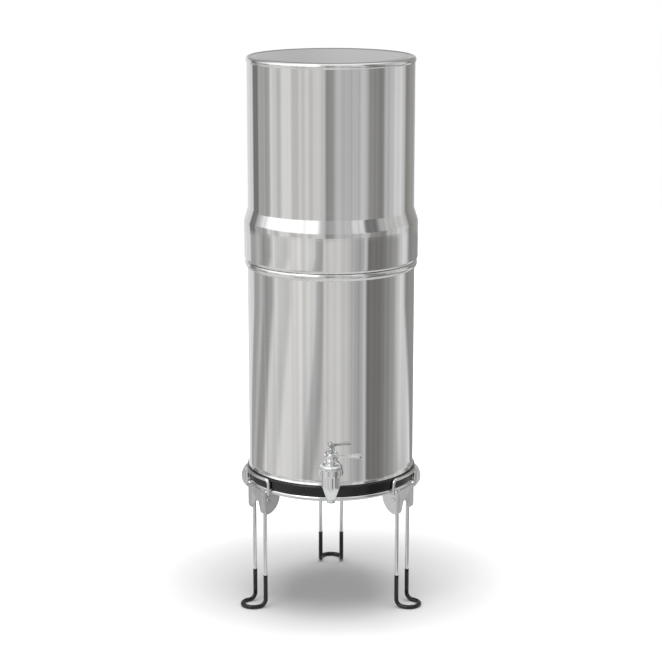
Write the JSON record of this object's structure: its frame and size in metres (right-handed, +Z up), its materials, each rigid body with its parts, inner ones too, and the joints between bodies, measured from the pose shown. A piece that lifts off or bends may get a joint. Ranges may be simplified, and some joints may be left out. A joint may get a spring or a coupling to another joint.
{
  "type": "gravity water filter",
  "caption": "Gravity water filter: two stacked round steel chambers with ceramic candles inside, a lever tap at the front and a wire stand whose legs fold.",
  "frame": {"origin": "on the floor, under the centre of the box round the whole part; the chambers' axis is 6.5 mm behind it, at y = +0.0065", "axes": "+Z up through the lid, -Y the way the tap faces, +X to the right seen from the tap's side"},
  "size_m": [0.2408, 0.2858, 0.7235],
  "materials": {
    "polished_steel": "mirror polished",
    "plain_steel": "satin",
    "chrome_wire": "polished",
    "chrome_tap": "polished",
    "black_band": "satin",
    "black_dip": "glossy",
    "ceramic": "matte",
    "carbon": "matte",
    "pale_plastic": "satin",
    "seal_rubber": "matte"
  },
  "bodies": {
    "stand": {"stand_ring": "chrome_wire", "bracket_left": "plain_steel", "bracket_right": "plain_steel", "bracket_rear": "plain_steel", "loop_left": "chrome_wire", "loop_right": "chrome_wire", "loop_rear": "chrome_wire", "ear_left": "plain_steel", "ear_right": "plain_steel"},
    "leg_left": {"leg_left": "chrome_wire", "foot_coat_left": "black_dip"},
    "leg_right": {"leg_right": "chrome_wire", "foot_coat_right": "black_dip"},
    "leg_rear": {"leg_rear": "chrome_wire", "foot_coat_rear": "black_dip"},
    "lower": {"lower_chamber": "polished_steel", "base_ring": "black_band", "tap_body": "chrome_tap", "tap_collar": "chrome_tap", "tap_bonnet": "chrome_tap", "stem_seal": "seal_rubber", "tap_outer_washer": "seal_rubber", "tap_inner_washer": "seal_rubber", "tap_flat_washer": "plain_steel", "tap_back_nut": "chrome_tap"},
    "valve": {"tap_plug": "chrome_tap", "tap_lever": "chrome_tap", "lever_screw": "chrome_tap"},
    "upper": {"upper_chamber": "polished_steel", "candle_left": "ceramic", "candle_right": "ceramic", "carbon_core_left": "carbon", "carbon_core_right": "carbon", "candle_base_left": "pale_plastic", "candle_base_right": "pale_plastic", "candle_washers": "seal_rubber", "wing_nuts": "pale_plastic", "blanking_plugs": "pale_plastic", "plug_washers": "seal_rubber", "plug_nuts": "pale_plastic"},
    "lid": {"lid": "polished_steel"}
  },
  "joints": [
    {"name": "lower_lift", "type": "slide", "parent": "stand", "child": "lower", "axis": [0, 0, 1], "range_m": [0, 0.08]},
    {"name": "upper_lift", "type": "slide", "parent": "lower", "child": "upper", "axis": [0, 0, 1], "range_m": [0, 0.1]},
    {"name": "lid_lift", "type": "slide", "parent": "upper", "child": "lid", "axis": [0, 0, 1], "range_m": [0, 0.06]},
    {"name": "tap_turn", "type": "hinge", "parent": "lower", "child": "valve", "pos_m": [0, -0.1283, 0.2022], "axis": [0, 0, 1], "range_deg": [-90, 0]},
    {"name": "leg_left_fold", "type": "hinge", "parent": "stand", "child": "leg_left", "pos_m": [-0.09405, -0.0478, 0.152], "axis": [0.5, -0.866, 0], "range_deg": [0, 85]},
    {"name": "leg_right_fold", "type": "hinge", "parent": "stand", "child": "leg_right", "pos_m": [0.09405, -0.0478, 0.152], "axis": [0.5, 0.866, 0], "range_deg": [0, 76]},
    {"name": "leg_rear_fold", "type": "hinge", "parent": "stand", "child": "leg_rear", "pos_m": [0, 0.1151, 0.152], "axis": [-1, 0, 0], "range_deg": [0, 90]}
  ]
}
